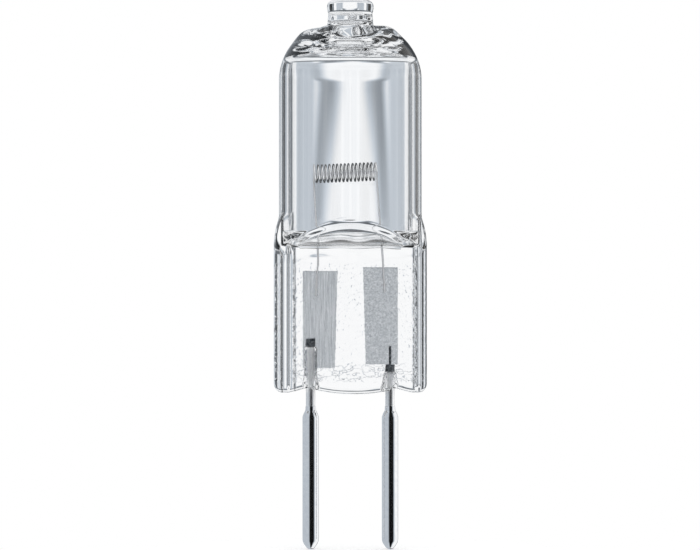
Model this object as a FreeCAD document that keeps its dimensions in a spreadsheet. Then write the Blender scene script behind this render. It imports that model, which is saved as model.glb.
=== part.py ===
import FreeCAD, Part
import math
import os

import Sketcher
from FreeCAD import Rotation, Vector

# Clear halogen capsule bulb with two pins, in millimetres.
# It stands on its pin tips. The origin is on its axis in the plane of the tips, X runs through both
# pins, Y is the depth of the flat press seal, and Z runs up to the sealed exhaust tip.

# The driving sizes: name, millimetres (or a count, or degrees), and what the size is.
SIZES = (
    ("pin_pitch", 6.35, "between the axes of the two pins"),
    ("pin_diameter", 1.3, "outside of a pin"),
    ("pin_length", 10.6, "from a pin's tip to the foot of its neck"),
    ("nose_length", 0.62, "rounded end of a pin"),
    ("nose_blunt", 0.16, "height of the steepest part of a pin's nose"),
    ("nose_width", 0.7, "diameter of a pin's nose above its blunt end"),
    ("nose_flat", 0.26, "diameter of the blunt end of a pin"),
    ("neck_length", 0.82, "from the foot of a pin's neck to the top of its lip"),
    ("neck_taper", 0.5, "height of the neck's cone"),
    ("neck_lip", 0.04, "wall of the lip, where the pin grips its lead"),
    ("grip_length", 4.4, "how far a lead goes down into its pin"),
    ("lead_diameter", 0.75, "round lead between pin and press seal"),
    ("lead_chamfer", 0.06, "broken edge at a lead's ends"),
    ("bare_lead", 1.48, "lead that shows between the neck's lip and the seal"),
    ("tube_diameter", 11.4, "outside of the blown tube"),
    ("tube_wall", 0.7, "thickness of the tube's wall"),
    ("bulb_length", 17.83, "from the top of the seal to the crown of the dome"),
    ("dome_corner", 2.8, "outside rounding of the dome's corner"),
    ("corner_angle", 60, "degrees by which that corner turns in, up to the flatter crown"),
    ("crown_thickness", 1.98, "glass between the cavity and the crown"),
    ("roof_corner", 2.0, "rounding between the cavity's wall and its flat roof"),
    ("funnel_diameter", 2.2, "mouth of the closed exhaust hole in the roof"),
    ("funnel_depth", 1.0, "depth of the closed exhaust hole"),
    ("tip_diameter", 3.8, "widest part of the exhaust tip"),
    ("tip_waist", 3.4, "narrowest part of the exhaust tip"),
    ("tip_root", 0.5, "how deep the exhaust tip's foot is fused into the crown"),
    ("tip_height", 2.07, "how far the exhaust tip stands above the crown"),
    ("tip_throat", 1.3, "from the tip's top down to its waist"),
    ("tip_shoulder", 0.8, "from the tip's top down to its widest part"),
    ("tip_rim", 3.46, "diameter of the exhaust tip at its rim"),
    ("tip_bevel", 0.32, "from the tip's top down to its rim"),
    ("tip_flat", 1.7, "diameter of the tip's flat top"),
    ("seal_length", 11.25, "from the seal's lower edge at the leads to its top"),
    ("seal_spread", 0.42, "how far the seal stands out past the tube on each side"),
    ("seal_belly", 0.5, "how far the seal's lower edge bows down between the leads"),
    ("corner_drop", 0.4, "how far that edge runs down from a lead to the seal's corner"),
    ("seal_corner", 0.7, "rounding of the seal's lower corners"),
    ("rib_thickness", 3.8, "front to back through the ribs at the seal's edges"),
    ("rib_round", 0.6, "rounding of a rib's outer edges"),
    ("rib_step", 0.3, "rounding of a rib's inner edges, and at its foot"),
    ("web_thickness", 2.4, "front to back through the pressed middle of the seal"),
    ("rib_width", 1.32, "across each rib, from the seal's side to the web"),
    ("web_shift", 0.3, "how far the pressed middle lies off the axis"),
    ("shoulder_height", 3.1, "how far the ribs run up the tube"),
    ("press_rise", 2.1, "from the seal's top to where the jaws met the tube"),
    ("press_round_in", 0.85, "depth of the bend where the tube turns in"),
    ("press_round_down", 1.15, "height of the bend where the tube turns in"),
    ("web_flare", 1.0, "height over which the web flows out into the shoulder"),
    ("floor_bend", 0.45, "bend between the cavity's wall and its sloped floor"),
    ("floor_thickness", 0.8, "glass under the cavity's floor at the slit"),
    ("slit_mouth", 1.8, "front to back across the mouth of the cavity's slit"),
    ("slit_width", 0.5, "front to back across the bottom of the slit"),
    ("slit_depth", 0.9, "depth of the slit in which the tube's walls met"),
    ("foil_width", 2.78, "width of a foil"),
    ("foil_length", 7.76, "height of a foil"),
    ("foil_thickness", 0.03, "thickness of a foil"),
    ("foil_taper", 0.22, "how much narrower a foil is at its foot"),
    ("foil_pitch", 4.81, "between the middles of the two foils"),
    ("foil_inset", 1.58, "from the seal's lower edge to the left foil"),
    ("foil_stagger", 0.3, "how much higher the right foil sits"),
    ("weld_bite", 0.045, "how deep a lead is flattened where it is welded to its foil"),
    ("left_lead_weld", 2.35, "overlap of the left lead and its foil"),
    ("right_lead_weld", 1.5, "overlap of the right lead and its foil"),
    ("left_lead_fused", 0.6, "end of the left lead that is fused into the glass"),
    ("right_lead_fused", 2.1, "end of the right lead that is fused into the glass"),
    ("channel_gap", 0.145, "air between a lead and the channel it leaves by"),
    ("trumpet_diameter", 1.68, "mouth of a lead's channel"),
    ("trumpet_length", 1.0, "height over which a channel flares to its mouth"),
    ("wire_diameter", 0.19, "filament wire"),
    ("wire_sides", 6, "flat sides by which the filament wire is made round"),
    ("coil_diameter", 1.55, "outside of the filament coil"),
    ("coil_pitch", 0.306, "from one turn of the coil to the next"),
    ("coil_whole_turns", 16, "whole turns, and the coil has a half turn more"),
    ("coil_facets", 12, "straight runs by which one turn is made round"),
    ("coil_shift", -0.42, "middle of the coil off the axis"),
    ("coil_rise", 5.95, "from the top of the seal to the coil's middle"),
    ("coil_tilt", 2.3, "degrees by which the coil's right end stands higher"),
    ("leg_pitch", 5.48, "between the welded ends of the two legs"),
    ("leg_lean", 0.16, "how far a leg leans in from its entry to its welded end"),
    ("leg_weld", 2.05, "overlap of a leg and its foil"),
    ("leg_entry", 0.9, "from a foil's top to the bend where its leg turns upright"),
    ("leg_knee", 0.7, "upright wire between the coil and a leg's first bend"),
    ("leg_bite", 0.03, "how deep a leg is flattened where it is welded to its foil"),
)

# Room by which a cutting shape runs past what it cuts.
PAST = 2.0

# Radii and half sizes, as expressions on the sheet.
TUBE = "sizes.tube_diameter / 2"
BORE = "(sizes.tube_diameter / 2 - sizes.tube_wall)"
PIN = "sizes.pin_diameter / 2"
LEAD = "sizes.lead_diameter / 2"
LIP = "(sizes.lead_diameter / 2 + sizes.neck_lip)"
CHANNEL = "(sizes.lead_diameter / 2 + sizes.channel_gap)"
RIB = "sizes.rib_thickness / 2"
WEB = "sizes.web_thickness / 2"
SEAL_SIDE = "(sizes.tube_diameter / 2 + sizes.seal_spread)"
CORNER_IN = f"({TUBE} - sizes.dome_corner)"
CROWN_RADIUS = f"(sizes.dome_corner + {CORNER_IN} / cos(sizes.corner_angle))"

# Heights above the pin tips, as expressions on the sheet.
LIP_TOP = "(sizes.pin_length + sizes.neck_length)"
LEAD_FOOT = f"({LIP_TOP} - sizes.grip_length)"
SEAL_FOOT = f"({LIP_TOP} + sizes.bare_lead)"
SEAL_TOP = f"({SEAL_FOOT} + sizes.seal_length)"
PRESS_TOP = f"({SEAL_TOP} + sizes.press_rise)"
CROWN = f"({SEAL_TOP} + sizes.bulb_length)"
CORNER = f"({CROWN} - {CROWN_RADIUS} + {CORNER_IN} * tan(sizes.corner_angle))"
ROOF = f"({CROWN} - sizes.crown_thickness)"
FLOOR = f"({SEAL_TOP} + sizes.floor_thickness)"
FOIL_FOOT = {
    "left": f"({SEAL_FOOT} + sizes.foil_inset)",
    "right": f"({SEAL_FOOT} + sizes.foil_inset + sizes.foil_stagger)",
}
LEAD_TOP = {side: f"({foot} + sizes.{side}_lead_weld)" for side, foot in FOIL_FOOT.items()}
CHANNEL_TOP = {side: f"({top} - sizes.{side}_lead_fused)" for side, top in LEAD_TOP.items()}

# The left foil lies behind its lead and the right foil in front of it.
SIDES = {"left": -1, "right": 1}
FOIL_SIDE = {"left": 1, "right": -1}
FOIL_DEPTH = f"({LEAD} - sizes.weld_bite + sizes.foil_thickness / 2)"


def make_sheet(doc):
    """Write the driving sizes into a spreadsheet, one alias to a size."""
    sheet = doc.addObject("Spreadsheet::Sheet", "sizes")
    for row, (name, size, meaning) in enumerate(SIZES, start=1):
        sheet.set(f"A{row}", name)
        sheet.set(f"B{row}", str(size))
        sheet.set(f"C{row}", meaning)
        sheet.setAlias(f"B{row}", name)
    doc.recompute()
    return sheet


def make_body(doc, name, across="0", depth="0"):
    """Make an empty body, placed across and in depth by expressions."""
    body = doc.addObject("PartDesign::Body", name)
    body.Label = name
    body.setExpression("Placement.Base.x", across)
    body.setExpression("Placement.Base.y", depth)
    return body


def make_sketch(body, name, role):
    """Attach a sketch to one of the body's own origin planes."""
    sketch = body.newObject("Sketcher::SketchObject", name)
    plane = next(feature for feature in body.Origin.OriginFeatures if feature.Role == role)
    sketch.AttachmentSupport = [(plane, "")]
    sketch.MapMode = "FlatFace"
    return sketch


def arc_between(start, end, radius, side):
    """Return the short arc from start to end, with its centre on the left (1) or right (-1)."""
    middle = (start + end) * 0.5
    chord = end - start
    reach = math.sqrt(max(radius ** 2 - (chord.Length / 2) ** 2, 0.0))
    normal = Vector(-chord.y, chord.x, 0).normalize() * side
    centre = middle + normal * reach
    return Part.Arc(start, centre - normal * radius, end)


def draw_outline(sketch, corners):
    """Draw one closed outline whose corners and radii are bound to expressions.

    A corner is (across, up), and a straight edge leaves it. A corner (across, up, radius, side) is
    left by an arc, whose centre lies to the left (1) or right (-1) of the way to the next corner.
    """
    first = sketch.GeometryCount
    points = [Vector(sketch.evalExpression(c[0]), sketch.evalExpression(c[1]), 0) for c in corners]
    starts, ends = [], []
    for number, corner in enumerate(corners):
        here, after = points[number], points[(number + 1) % len(points)]
        if len(corner) == 2:
            sketch.addGeometry(Part.LineSegment(here, after), False)
        else:
            radius = sketch.evalExpression(corner[2])
            sketch.addGeometry(arc_between(here, after, radius, corner[3]), False)
        turns_right = len(corner) == 4 and corner[3] < 0
        starts.append(2 if turns_right else 1)
        ends.append(1 if turns_right else 2)
    for number, corner in enumerate(corners):
        edge = first + number
        before = (number - 1) % len(corners)
        sketch.addConstraint(
            Sketcher.Constraint("Coincident", first + before, ends[before], edge, starts[number]))
        for kind, place, text in (("DistanceX", points[number].x, corner[0]),
                                  ("DistanceY", points[number].y, corner[1])):
            index = sketch.addConstraint(
                Sketcher.Constraint(kind, -1, 1, edge, starts[number], place))
            sketch.setExpression(f"Constraints[{index}]", text)
        if len(corner) == 4:
            index = sketch.addConstraint(
                Sketcher.Constraint("Radius", edge, sketch.evalExpression(corner[2])))
            sketch.setExpression(f"Constraints[{index}]", corner[2])


def bend_radius(inward, down):
    """Radius of an arc that starts upright and ends that far in and down, as an expression."""
    return f"(({inward}) ^ 2 + ({down}) ^ 2) / (2 * ({inward}))"


def revolve(body, name, corners):
    """Turn an outline in the front plane about the body's own upright axis."""
    sketch = make_sketch(body, f"{name}_outline", "XZ_Plane")
    draw_outline(sketch, corners)
    turned = body.newObject("PartDesign::Revolution", name)
    turned.Profile = sketch
    turned.ReferenceAxis = (sketch, ["V_Axis"])
    return turned


def cut_through(body, name, role, outlines):
    """Cut outlines on one origin plane right through the body, both ways."""
    sketch = make_sketch(body, f"{name}_outline", role)
    for corners in outlines:
        draw_outline(sketch, corners)
    cut = body.newObject("PartDesign::Pocket", name)
    cut.Profile = sketch
    cut.Type = "ThroughAll"
    cut.Midplane = True
    return cut


def mirrored(corners):
    """Return the same outline on the other side of the upright axis."""
    return [(f"-({c[0]})", c[1]) if len(c) == 2 else (f"-({c[0]})", c[1], c[2], -c[3])
            for c in corners]


# The glass tube, with its domed top, its exhaust tip and its pressed lower end.

def make_tube_form(doc):
    body = make_body(doc, "tube_form")
    tube_foot = f"{SEAL_TOP} - sizes.web_flare"
    revolve(body, "blown_tube", [
        ("0", tube_foot),
        (TUBE, tube_foot),
        (TUBE, CORNER, "sizes.dome_corner", 1),
        (f"{CORNER_IN} + sizes.dome_corner * cos(sizes.corner_angle)",
         f"{CORNER} + sizes.dome_corner * sin(sizes.corner_angle)", CROWN_RADIUS, 1),
        ("0", CROWN),
    ])
    bend_in, bend_down = "sizes.press_round_in", "sizes.press_round_down"
    outside = f"{TUBE} + {PAST}"
    jaw = [
        (outside, PRESS_TOP),
        (TUBE, PRESS_TOP, bend_radius(bend_in, bend_down), -1),
        (f"{TUBE} - {bend_in}", f"{PRESS_TOP} - {bend_down}"),
        (RIB, SEAL_TOP, bend_radius(f"{RIB} - {WEB}", "sizes.web_flare"), 1),
        (WEB, tube_foot),
        (WEB, f"{tube_foot} - {PAST}"),
        (outside, f"{tube_foot} - {PAST}"),
    ]
    cut_through(body, "jaw_press", "YZ_Plane", [jaw, mirrored(jaw)])
    top = f"{CROWN} + sizes.tip_height"
    widest = "sizes.tip_diameter / 2"
    root = f"{CROWN} - sizes.tip_root"
    revolve(body, "exhaust_tip", [
        ("0", root),
        (widest, root),
        ("sizes.tip_waist / 2", f"{top} - sizes.tip_throat"),
        (widest, f"{top} - sizes.tip_shoulder"),
        ("sizes.tip_rim / 2", f"{top} - sizes.tip_bevel"),
        ("sizes.tip_flat / 2", top),
        ("0", top),
    ])
    return body


# The flat press seal: a thin pressed web between two thick rounded ribs.

def seal_section():
    """Corners of the seal's level section, from its front right rib round to its back right rib."""
    out, step = "sizes.rib_round", "sizes.rib_step"
    edge = {"right": f"({SEAL_SIDE} - sizes.rib_width + sizes.web_shift)",
            "left": f"({SEAL_SIDE} - sizes.rib_width - sizes.web_shift)"}

    def rib(side):
        return [
            (f"{edge[side]} - {step}", f"-{WEB}", step, -1),
            (edge[side], f"-{WEB} - {step}"),
            (edge[side], f"-{RIB} + {step}", step, 1),
            (f"{edge[side]} + {step}", f"-{RIB}"),
            (f"{SEAL_SIDE} - {out}", f"-{RIB}", out, 1),
            (SEAL_SIDE, f"-{RIB} + {out}"),
        ]

    def backwards(corners):
        turned = []
        for number in range(len(corners) - 1, -1, -1):
            arc = corners[number - 1] if number else ()
            turned.append(corners[number][:2] + (arc[2:] if len(arc) == 4 else ()))
        return turned

    def to_back(corners):
        return [(c[0], f"-({c[1]})") + ((c[2], -c[3]) if len(c) == 4 else ()) for c in corners]

    def reversed_way(corners):
        return [c[:2] + ((c[2], -c[3]) if len(c) == 4 else ()) for c in backwards(corners)]

    front_right = rib("right")
    back_right = reversed_way(to_back(front_right))
    back_left = mirrored(to_back(rib("left")))
    front_left = reversed_way(mirrored(rib("left")))
    return front_right + back_right + back_left + front_left


def make_seal_form(doc):
    body = make_body(doc, "seal_form")
    sketch = make_sketch(body, "section", "XY_Plane")
    draw_outline(sketch, seal_section())
    block = body.newObject("PartDesign::Pad", "pressed_block")
    block.Profile = sketch
    block.setExpression("Length", f"{SEAL_TOP} + sizes.shoulder_height")
    belly_foot = f"{SEAL_FOOT} - sizes.seal_belly"
    corner = "sizes.seal_corner"
    side_foot = f"{SEAL_SIDE} - {corner}"
    lead = "sizes.pin_pitch / 2"
    top = f"{SEAL_TOP} + sizes.shoulder_height"
    shoulder_in = f"sqrt(({TUBE}) ^ 2 - ({RIB}) ^ 2)"
    sag = bend_radius("sizes.seal_belly", lead)
    foot = bend_radius("sizes.corner_drop", f"{side_foot} - {lead}")
    shoulder = bend_radius(f"{SEAL_SIDE} - {shoulder_in}", "sizes.shoulder_height")
    right = [
        ("0", belly_foot, sag, 1),
        (lead, SEAL_FOOT, foot, 1),
        (side_foot, f"{SEAL_FOOT} - sizes.corner_drop", corner, 1),
        (SEAL_SIDE, f"{SEAL_FOOT} - sizes.corner_drop + {corner}"),
        (SEAL_SIDE, SEAL_TOP, shoulder, 1),
        (shoulder_in, top),
        (shoulder_in, f"{top} + {PAST}"),
        (f"{SEAL_SIDE} + {PAST}", f"{top} + {PAST}"),
        (f"{SEAL_SIDE} + {PAST}", f"-{PAST}"),
        ("0", f"-{PAST}"),
    ]
    cut_through(body, "front_outline", "XZ_Plane", [right, mirrored(right)])
    return body


# The cavity inside the tube, down to the slit where the pressed walls met.

def make_cavity_form(doc):
    body = make_body(doc, "cavity_form")
    slit_foot = f"{FLOOR} - sizes.slit_depth"
    corner = "sizes.roof_corner"
    revolve(body, "blown_cavity", [
        ("0", slit_foot),
        (BORE, slit_foot),
        (BORE, f"{ROOF} - {corner}", corner, 1),
        (f"{BORE} - {corner}", ROOF),
        ("sizes.funnel_diameter / 2", ROOF),
        ("0", f"{ROOF} + sizes.funnel_depth"),
    ])
    bend = "sizes.floor_bend"
    outside = f"{BORE} + {PAST}"
    floor = [
        (outside, PRESS_TOP),
        (BORE, PRESS_TOP, bend, -1),
        (f"{BORE} - {bend}", f"{PRESS_TOP} - {bend}"),
        ("sizes.slit_mouth / 2", FLOOR),
        ("sizes.slit_width / 2", slit_foot),
        ("sizes.slit_width / 2", f"{slit_foot} - {PAST}"),
        (outside, f"{slit_foot} - {PAST}"),
    ]
    cut_through(body, "sloped_floor", "YZ_Plane", [floor, mirrored(floor)])
    return body


# The two channels in the glass by which the leads leave the seal.

def make_channel_form(doc, side):
    body = make_body(doc, f"{side}_channel_form", across=f"{SIDES[side]} * sizes.pin_pitch / 2")
    mouth = "sizes.trumpet_diameter / 2"
    below = f"{SEAL_FOOT} - sizes.seal_belly"
    revolve(body, "trumpet", [
        ("0", below),
        (mouth, below),
        (mouth, SEAL_FOOT),
        (CHANNEL, f"{SEAL_FOOT} + sizes.trumpet_length"),
        (CHANNEL, CHANNEL_TOP[side]),
        ("0", CHANNEL_TOP[side]),
    ])
    return body


# The leads, flattened where they are welded to their foils.

def make_weld_flat(doc, side):
    """Box that takes away what lies past the foil's near face, along the weld."""
    depth = PAST * 2
    near = f"{LEAD} - sizes.weld_bite"
    box = doc.addObject("Part::Box", f"{side}_weld_flat")
    box.Length = box.Width = depth
    box.setExpression("Placement.Base.x", f"{SIDES[side]} * sizes.pin_pitch / 2 - {depth / 2}")
    box.setExpression("Placement.Base.y", near if FOIL_SIDE[side] > 0 else f"-({near}) - {depth}")
    box.setExpression("Placement.Base.z", FOIL_FOOT[side])
    box.setExpression("Height", f"sizes.{side}_lead_weld + {PAST}")
    return box


def make_lead_form(doc, side):
    body = make_body(doc, f"{side}_lead_form", across=f"{SIDES[side]} * sizes.pin_pitch / 2")
    break_edge = "sizes.lead_chamfer"
    revolve(body, "round_wire", [
        ("0", LEAD_FOOT),
        (f"{LEAD} - {break_edge}", LEAD_FOOT),
        (LEAD, f"{LEAD_FOOT} + {break_edge}"),
        (LEAD, f"{LEAD_TOP[side]} - {break_edge}"),
        (f"{LEAD} - {break_edge}", LEAD_TOP[side]),
        ("0", LEAD_TOP[side]),
    ])
    return body


# The pins: plated sleeves with a blind bore, swaged over the leads.

def make_pin_form(doc, side):
    body = make_body(doc, f"{side}_pin_form", across=f"{SIDES[side]} * sizes.pin_pitch / 2")
    revolve(body, "turned_sleeve", [
        ("0", "0"),
        ("sizes.nose_flat / 2", "0"),
        ("sizes.nose_width / 2", "sizes.nose_blunt"),
        (PIN, "sizes.nose_length"),
        (PIN, "sizes.pin_length"),
        (LIP, "sizes.pin_length + sizes.neck_taper"),
        (LIP, LIP_TOP),
        ("0", LIP_TOP),
    ])
    return body


# The foils: thin strips that narrow a little towards their feet.

def make_foil(doc, side):
    name = f"{side}_foil"
    body = make_body(doc, name, depth=f"{FOIL_SIDE[side]} * {FOIL_DEPTH}")
    sketch = make_sketch(body, "strip", "XZ_Plane")
    outer = "sizes.foil_pitch / 2 + sizes.foil_width / 2"
    inner = "sizes.foil_pitch / 2 - sizes.foil_width / 2"
    foot = FOIL_FOOT[side]
    corners = [
        (f"{inner} + sizes.foil_taper", foot),
        (outer, foot),
        (outer, f"{foot} + sizes.foil_length"),
        (inner, f"{foot} + sizes.foil_length"),
    ]
    draw_outline(sketch, corners if SIDES[side] > 0 else mirrored(corners))
    strip = body.newObject("PartDesign::Pad", "rolled_strip")
    strip.Profile = sketch
    strip.setExpression("Length", "sizes.foil_thickness")
    strip.Midplane = True
    return body


# The filament: one wire, a level coil between two legs.

def coil_points(size, middle):
    """Points of the coil's wire, from its back left end to its front right end.

    The wire rises behind the coil's axis and comes down before it, as the lean of the turns shows.
    """
    radius = (size("coil_diameter") - size("wire_diameter")) / 2
    turns = int(size("coil_whole_turns")) + 0.5
    runs = round(turns * size("coil_facets"))
    tilt = Rotation(Vector(0, 1, 0), -size("coil_tilt"))
    points = []
    for run in range(runs + 1):
        turned = turns * run / runs
        angle = 2 * math.pi * turned
        along = size("coil_pitch") * (turned - turns / 2)
        local = Vector(along, radius * math.cos(angle), radius * math.sin(angle))
        points.append(middle + tilt.multVec(local))
    return points


def leg_points(size, sheet, side, coil_end):
    """Points of a leg, from its welded end on the foil up to its knee below the coil's end."""
    sign = SIDES[side]
    foil_top = sheet.evalExpression(f"{FOIL_FOOT[side]} + sizes.foil_length")
    foil_face = FOIL_SIDE[side] * sheet.evalExpression(FOIL_DEPTH) - size("foil_thickness") / 2
    depth = foil_face - size("wire_diameter") / 2 + size("leg_bite")
    welded = sign * size("leg_pitch") / 2
    end = Vector(welded, depth, foil_top - size("leg_weld"))
    entry = Vector(welded - sign * size("leg_lean"), depth, foil_top + size("leg_entry"))
    return [end, entry, coil_end - Vector(0, 0, size("leg_knee"))]


def mitred_sections(points, radius, sides):
    """Return the wire's many-sided section at each point, mitred where two runs meet."""
    heading = (points[1] - points[0]).normalize()
    spoke = heading.cross(Vector(1, 0, 0)).normalize() * radius
    section = [points[0] + Rotation(heading, 360 * side / sides).multVec(spoke)
               for side in range(sides)]
    sections = [section]
    for before, here, after in zip(points, points[1:], points[2:] + points[-1:]):
        heading = (here - before).normalize()
        normal = heading + (after - here).normalize() if after != here else heading
        reach = heading.dot(normal)
        section = [corner + heading * ((here - corner).dot(normal) / reach) for corner in section]
        sections.append(section)
    return sections


def flat_sided(sections):
    """Close the sections into one solid, with a flat side for each side of each run."""
    outlines = [sections[0], sections[-1]]
    for lower, upper in zip(sections, sections[1:]):
        outlines += [[lower[n - 1], lower[n], upper[n], upper[n - 1]] for n in range(len(lower))]
    shell = Part.Shell([Part.Face(Part.makePolygon(o + o[:1])) for o in outlines])
    shell.sewShape()
    return Part.Solid(shell)


def flatten(wire, size, end):
    """Take away what lies past the foil's near face, along a leg's weld."""
    past_end = size("wire_diameter")
    foil_face = end.y + size("wire_diameter") / 2 - size("leg_bite")
    corner = Vector(end.x - PAST / 2, foil_face, end.z - past_end)
    return wire.cut(Part.makeBox(PAST, PAST, size("leg_weld") + 2 * past_end, corner))


def make_filament(doc, sheet):
    """Bend one wire into two legs and a coil, and return it with its two legs alone."""
    size = sheet.getPropertyByName
    middle = Vector(size("coil_shift"), 0, sheet.evalExpression(f"{SEAL_TOP} + sizes.coil_rise"))
    coil = coil_points(size, middle)
    left = leg_points(size, sheet, "left", coil[0])
    right = leg_points(size, sheet, "right", coil[-1])
    route = left + coil + right[::-1]
    sections = mitred_sections(route, size("wire_diameter") / 2, int(size("wire_sides")))
    wire = flatten(flatten(flat_sided(sections), size, left[0]), size, right[0])
    legs = []
    for side, leg, part in (("left", left, sections[:len(left)]),
                            ("right", right, sections[-len(right):])):
        form = doc.addObject("Part::Feature", f"{side}_leg_form")
        form.Shape = flatten(flat_sided(part), size, leg[0])
        legs.append(form)
    filament = doc.addObject("Part::Feature", "filament")
    filament.Label = "filament"
    filament.Shape = wire
    return filament, legs


def combine(doc, kind, name, base, tool):
    """Cut or fuse two objects into a third."""
    result = doc.addObject(kind, name)
    result.Label = name
    result.Base = base
    result.Tool = tool
    return result


def make_parts(doc, sheet):
    """Build every piece, and return them in the order of the files."""
    filament, legs = make_filament(doc, sheet)
    pieces = [filament]
    seats = [make_cavity_form(doc)]
    for side, leg in zip(SIDES, legs):
        flat = make_weld_flat(doc, side)
        lead = combine(doc, "Part::Cut", f"{side}_lead", make_lead_form(doc, side), flat)
        channel = combine(doc, "Part::Cut", f"{side}_channel", make_channel_form(doc, side), flat)
        pin = combine(doc, "Part::Cut", f"{side}_pin_sleeve", make_pin_form(doc, side), lead)
        foil = make_foil(doc, side)
        pieces += [foil, lead, pin]
        seats += [channel, lead, foil, leg]
    glass = combine(doc, "Part::Fuse", "glass_blank", make_tube_form(doc), make_seal_form(doc))
    for number, seat in enumerate(seats, start=1):
        name = "quartz_envelope" if number == len(seats) else f"glass_cut_{number}"
        glass = combine(doc, "Part::Cut", name, glass, seat)
    return [glass] + pieces


def check(doc, pieces):
    """Stop if any object failed, or any piece isn't one sound solid."""
    for item in doc.Objects:
        if "Invalid" in item.State or "Error" in item.State:
            raise RuntimeError(f"{item.Label} did not build: {item.State}")
    for piece in pieces:
        if piece.Shape.isNull() or not piece.Shape.isValid():
            raise RuntimeError(f"{piece.Label} has no sound shape")
        if len(piece.Shape.Solids) != 1:
            raise RuntimeError(f"{piece.Label} has {len(piece.Shape.Solids)} solids")


def main():
    doc = FreeCAD.newDocument("halogen_capsule")
    sheet = make_sheet(doc)
    pieces = make_parts(doc, sheet)
    doc.recompute()
    check(doc, pieces)
    os.makedirs("parts", exist_ok=True)
    for piece in pieces:
        piece.Shape.exportStep(f"parts/{piece.Label}.step")
        box = piece.Shape.BoundBox
        print(f"{piece.Label}: {piece.Shape.Volume:.3f} mm3, z {box.ZMin:.2f} to {box.ZMax:.2f}")


main()
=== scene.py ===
# %% [markdown]
# # A clear halogen capsule bulb
#
# The bulb is a tube of clear quartz glass. Its top is domed and ends in the stub by which it was
# filled and sealed, and its lower end is pressed flat round two thin foils. A level coil of wire is
# the filament, and two plated pins carry the whole. Glass has no colour of its own. What shows is
# how it bends the light of the room, so its surfaces are made as smooth skins with true walls.

# %% The frame
import math

import bpy
from mathutils import Matrix, Vector, noise


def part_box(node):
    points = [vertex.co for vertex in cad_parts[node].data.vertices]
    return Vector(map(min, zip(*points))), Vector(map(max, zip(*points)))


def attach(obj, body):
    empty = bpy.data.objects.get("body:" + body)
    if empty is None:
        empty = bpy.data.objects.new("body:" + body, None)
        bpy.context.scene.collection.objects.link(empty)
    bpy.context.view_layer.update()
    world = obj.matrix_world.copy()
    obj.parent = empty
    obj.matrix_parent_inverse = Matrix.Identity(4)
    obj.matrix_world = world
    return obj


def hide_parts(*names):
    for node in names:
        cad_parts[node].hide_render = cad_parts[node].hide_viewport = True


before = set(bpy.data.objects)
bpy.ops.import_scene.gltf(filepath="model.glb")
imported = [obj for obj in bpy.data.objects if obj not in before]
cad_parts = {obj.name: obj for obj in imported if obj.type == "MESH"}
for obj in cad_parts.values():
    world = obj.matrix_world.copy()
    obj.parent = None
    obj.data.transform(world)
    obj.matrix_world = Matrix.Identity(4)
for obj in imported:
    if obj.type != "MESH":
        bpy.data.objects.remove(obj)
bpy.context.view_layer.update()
bpy.ops.object.select_all(action="DESELECT")
print("pieces of the frame:", sorted(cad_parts))

# %% [markdown]
# ## Sizes
#
# Every size here is in millimetres, and a piece is brought to metres when its vertices are placed.
# What the frame knows is read from the boxes of its nodes, so a piece can't drift from what it
# stands for. Only the roundings that a box can't tell are written out.

# %% Sizes read from the frame
MM = 0.001


def box_mm(node):
    """Lowest and highest corner of a node of the frame, in millimetres."""
    low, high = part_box(node)
    return low / MM, high / MM


SIDES = {"left": -1, "right": 1}
GLASS_LOW, GLASS_HIGH = box_mm("quartz_envelope")
TUBE_RADIUS = GLASS_HIGH.y
SEAL_HALF = GLASS_HIGH.x
LEAD_BOX = {side: box_mm(f"{side}_lead") for side in SIDES}
PIN_BOX = {side: box_mm(f"{side}_pin_sleeve") for side in SIDES}
FOIL_BOX = {side: box_mm(f"{side}_foil") for side in SIDES}
PIN_X = (PIN_BOX["right"][0].x + PIN_BOX["right"][1].x) / 2
LEAD_RADIUS = (LEAD_BOX["right"][1].x - LEAD_BOX["right"][0].x) / 2
PIN_RADIUS = (PIN_BOX["right"][1].x - PIN_BOX["right"][0].x) / 2
PIN_TOP = PIN_BOX["right"][1].z
print(f"tube radius {TUBE_RADIUS:.2f} mm, seal half width {SEAL_HALF:.2f} mm")
print(f"pins {PIN_X:.3f} mm from the axis")

# %% Sizes of the glass that no box tells
WALL = 0.7
BORE_RADIUS = TUBE_RADIUS - WALL
RIB_DEPTH = 1.9
WEB_DEPTH = 1.2
WEB_EDGE = {"left": 4.5, "right": 5.1}
RIB_ROUND = {"left": 1.0, "right": 0.66}
RIB_SQUARENESS = 2.2
FIN_SHARPENING = 0.75
FIN_BLEND = 0.8
JAW_EDGE = 0.3
SEAL_FOOT = 12.9
SEAL_TOP = 24.15
BOWL_RADIUS = 6.0
BOWL_CENTRE = 26.95
BOWL_DEEP = 2.72
SHOULDER_TOP = SEAL_TOP + 3.1
SHOULDER_BEND = 6.8
SOLE_CORNER = 0.75
SOLE_SIDE_DROP = 0.36
DOME_FOOT = 37.55
DOME_RISE = 4.97
ROOF = 40.2
ROOF_FOOT = 37.4
ROOF_SQUARE = 3.6
FLOOR_TOP = 26.2
FLOOR_DEEP = 1.75
SLIT_FOOT = 24.0
SLIT_HALF = 0.16
SLIT_FLARE = 0.3
SLIT_NARROWING = 0.95
CHANNEL_TOP = {"left": 16.2, "right": 14.2}
CHANNEL_GAP = 0.145
CHANNEL_RADIUS = LEAD_RADIUS + CHANNEL_GAP

# %% [markdown]
# ## Helpers for shapes
#
# A soft maximum joins two forms as glass does, with a small rounded valley, and a soft minimum
# rounds the edge where one form cuts another. A smooth step goes from 0 to 1 without a kink.


# %% Blending helpers
def smooth_step(low, high, value):
    """Go from 0 at low to 1 at high, level at both ends."""
    share = min(max((value - low) / (high - low), 0.0), 1.0)
    return share * share * (3 - 2 * share)


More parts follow.
